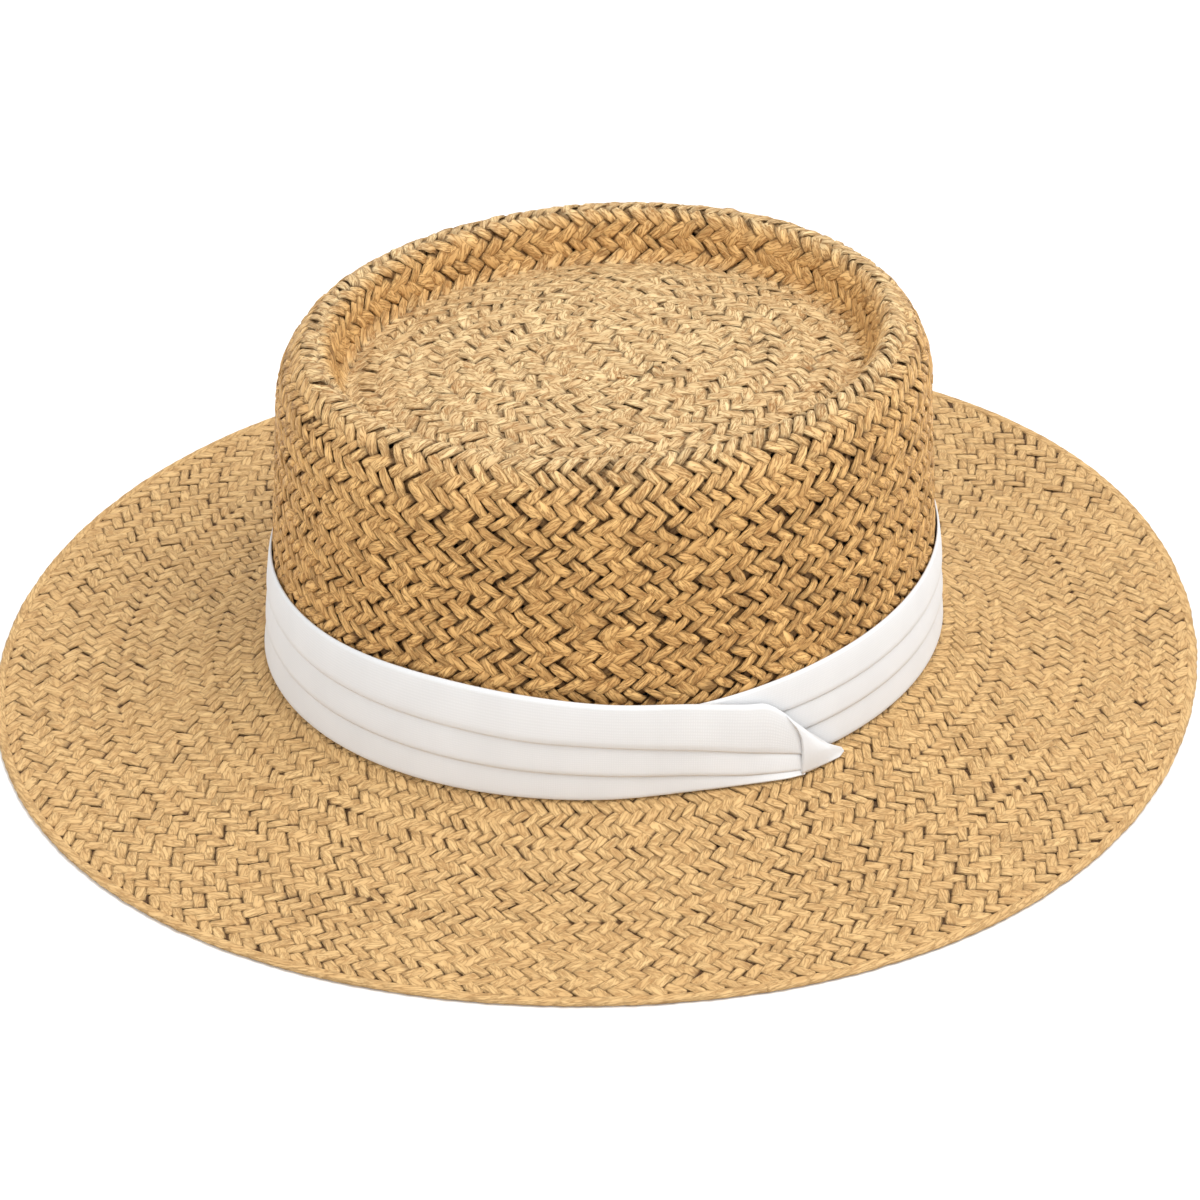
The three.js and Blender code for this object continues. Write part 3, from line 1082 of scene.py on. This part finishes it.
class SUNHAT_OT_weave_crown(bpy.types.Operator):
    """Weave the crown's tip, crest and side"""

    bl_idname = "sun_hat.weave_crown"
    bl_label = "Weave Crown"

    def execute(self, context):
        settings = context.scene.sun_hat
        rng = np.random.default_rng(SEED)
        straw = settings.straw
        tip_finish = weave_finish(settings.weave, "tip")
        crown_finish = weave_finish(settings.weave, "side")
        wall = Wall(crown_line(), STRAW)
        tip_rings = PATCH_RINGS + ring_count(TIP_ZONES)
        dent_rings = tip_rings + ring_count(DENT_ZONES)
        ring = wall.length / (dent_rings + ring_count(SIDE_ZONES))
        patch = patch_blocks(wall, PATCH_RINGS * ring, tip_finish, rng)
        tip = weave_zones(wall, TIP_ZONES, PATCH_RINGS, ring, tip_finish, rng)
        dent = weave_zones(wall, DENT_ZONES, tip_rings, ring, tip_finish, rng)
        crown = weave_zones(wall, SIDE_ZONES, dent_rings, ring, crown_finish, rng)
        gaps = (straw.side_gap_shade, straw.tip_gap_shade)
        material = straw_material("crown_straw", straw, straw.tip, gaps, straw.side_fold_shade)
        for side in FAMILIES:
            piece = strand_piece(f"tip_strands_{side}", patch[side] + tip[side], material)
            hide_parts("crown_tip")
            piece = strand_piece(f"crown_strands_{side}", dent[side] + crown[side], material)
            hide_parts("crown_crest", "crown_side")
        return {"FINISHED"}


class SUNHAT_OT_weave_brim(bpy.types.Operator):
    """Weave the brim and turn over its edge"""

    bl_idname = "sun_hat.weave_brim"
    bl_label = "Weave Brim"

    def execute(self, context):
        settings = context.scene.sun_hat
        rng = np.random.default_rng(SEED + 1)
        straw = settings.straw
        finish = weave_finish(settings.weave, "brim")
        wall = Wall(brim_line(), BRIM_STRAW)
        inner_rings = ring_count(BRIM_INNER_ZONES)
        ring = wall.length / (inner_rings + ring_count(BRIM_OUTER_ZONES))
        inner = weave_zones(wall, BRIM_INNER_ZONES, 0, ring, finish, rng)
        outer = weave_zones(wall, BRIM_OUTER_ZONES, inner_rings, ring, finish, rng)
        made = {f"inner_{side}": blocks for side, blocks in inner.items()}
        made |= {f"outer_{side}": blocks for side, blocks in outer.items()}
        made["edge"] = [edge_block(rng)]
        gaps = (straw.side_gap_shade, straw.brim_gap_shade)
        material = straw_material("brim_straw", straw, straw.brim, gaps, straw.brim_fold_shade)
        for part, blocks in made.items():
            piece = strand_piece(f"brim_{part}", blocks, material)
            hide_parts("brim")
        return {"FINISHED"}


class SUNHAT_OT_tie_band(bpy.types.Operator):
    """Wind the pleated band and fold its knot"""

    bl_idname = "sun_hat.tie_band"
    bl_label = "Tie Band"

    def execute(self, context):
        cloth = context.scene.sun_hat.cloth
        material = cloth_material("band_cloth", cloth.colour)
        band = band_piece(cloth)
        band.data.materials.append(material)
        knot = knot_piece(cloth)
        knot.data.materials.append(material)
        return {"FINISHED"}


def looking(from_point, to_point):
    return (to_point - from_point).to_track_quat("-Z", "Y").to_euler()


def seen_from(turn, rise, distance, centre):
    """A place around the hat, by turn from the front and rise, in degrees."""
    turn, rise = math.radians(turn), math.radians(rise)
    return centre + distance * Vector((
        math.sin(turn) * math.cos(rise), -math.cos(turn) * math.cos(rise), math.sin(rise)
    ))


def area_light(name, place, centre, size, power):
    lamp = bpy.data.lights.new(name, "AREA")
    lamp.shape = "DISK"
    lamp.size = size
    lamp.energy = power
    light = bpy.data.objects.new(name, lamp)
    light.location = place
    light.rotation_euler = looking(place, centre)
    bpy.context.collection.objects.link(light)


class SUNHAT_OT_set_stage(bpy.types.Operator):
    """Lay the floor, and set the lights and the camera"""

    bl_idname = "sun_hat.set_stage"
    bl_label = "Set Stage"

    def execute(self, context):
        scene = context.scene
        stage = scene.sun_hat.stage
        centre = Vector((0, 0, BRIM_TOP))

        bm = bmesh.new()
        bmesh.ops.create_grid(bm, x_segments=1, y_segments=1, size=FLOOR_REACH)
        mesh = bpy.data.meshes.new("floor")
        bm.to_mesh(mesh)
        bm.free()
        floor = bpy.data.objects.new("floor", mesh)
        context.collection.objects.link(floor)
        material, _, _, shader = new_material("floor_paper")
        shader.inputs["Base Color"].default_value = (*stage.floor, 1)
        shader.inputs["Roughness"].default_value = FLOOR_ROUGHNESS
        mesh.materials.append(material)

        for row in LIGHTS:
            place = seen_from(CAMERA_TURN + row["turn"], row["rise"], row["distance"], centre)
            area_light(row["name"], place, centre, row["size"], getattr(stage, row["name"]))
        world = bpy.data.worlds.new("studio")
        world.use_nodes = True
        sky = world.node_tree.nodes["Background"]
        sky.inputs["Color"].default_value = (1, 1, 1, 1)
        sky.inputs["Strength"].default_value = stage.sky
        scene.world = world
        scene.view_settings.view_transform = "Standard"

        lens = bpy.data.cameras.new("camera")
        lens.sensor_fit = "HORIZONTAL"
        lens.sensor_width = CAMERA_SENSOR
        lens.lens = CAMERA_LENS
        lens.shift_x, lens.shift_y = CAMERA_SHIFT
        lens.clip_end = CAMERA_CLIP
        camera = bpy.data.objects.new("camera", lens)
        camera.location = seen_from(CAMERA_TURN, CAMERA_RISE, CAMERA_DISTANCE, centre)
        camera.rotation_euler = looking(camera.location, centre)
        context.collection.objects.link(camera)
        scene.camera = camera
        return {"FINISHED"}


def strand_settings(part):
    return [f"{part}_{name}" for name in STRAND_SETTINGS]


class SUNHAT_PT_panel(bpy.types.Panel):
    """The hat's pieces and settings"""

    bl_label = "Sun Hat"
    bl_idname = "SUNHAT_PT_panel"
    bl_space_type = "VIEW_3D"
    bl_region_type = "UI"
    bl_category = "Sun Hat"

    def draw(self, context):
        settings = context.scene.sun_hat
        groups = [
            ("sun_hat.weave_crown", settings.weave, strand_settings("side") + strand_settings("tip")),
            ("sun_hat.weave_brim", settings.weave, strand_settings("brim")),
            ("sun_hat.tie_band", settings.cloth, ["colour", "thickness", "wrinkle"]),
            ("sun_hat.set_stage", settings.stage, ["floor", "key", "fill", "sky"]),
        ]
        for operator, group, names in groups:
            box = self.layout.box()
            box.operator(operator)
            for name in names:
                box.prop(group, name)
        colours = self.layout.box()
        for name in ("side", "tip", "brim", "crease_shade", "gap", "roughness"):
            colours.prop(settings.straw, name)
        for name in ("side_gap_shade", "tip_gap_shade", "brim_gap_shade", "side_fold_shade", "brim_fold_shade"):
            colours.prop(settings.straw, name)


CLASSES = (
    SunHatWeave,
    SunHatStraw,
    SunHatCloth,
    SunHatStage,
    SunHatSettings,
    SUNHAT_OT_weave_crown,
    SUNHAT_OT_weave_brim,
    SUNHAT_OT_tie_band,
    SUNHAT_OT_set_stage,
    SUNHAT_PT_panel,
)


def register():
    for cls in CLASSES:
        bpy.utils.register_class(cls)
    bpy.types.Scene.sun_hat = PointerProperty(type=SunHatSettings)


def unregister():
    del bpy.types.Scene.sun_hat
    for cls in reversed(CLASSES):
        bpy.utils.unregister_class(cls)


def main():
    register()
    bpy.ops.sun_hat.set_stage()
    bpy.ops.sun_hat.weave_crown()
    bpy.ops.sun_hat.weave_brim()
    bpy.ops.sun_hat.tie_band()


if __name__ == "__main__":
    main()
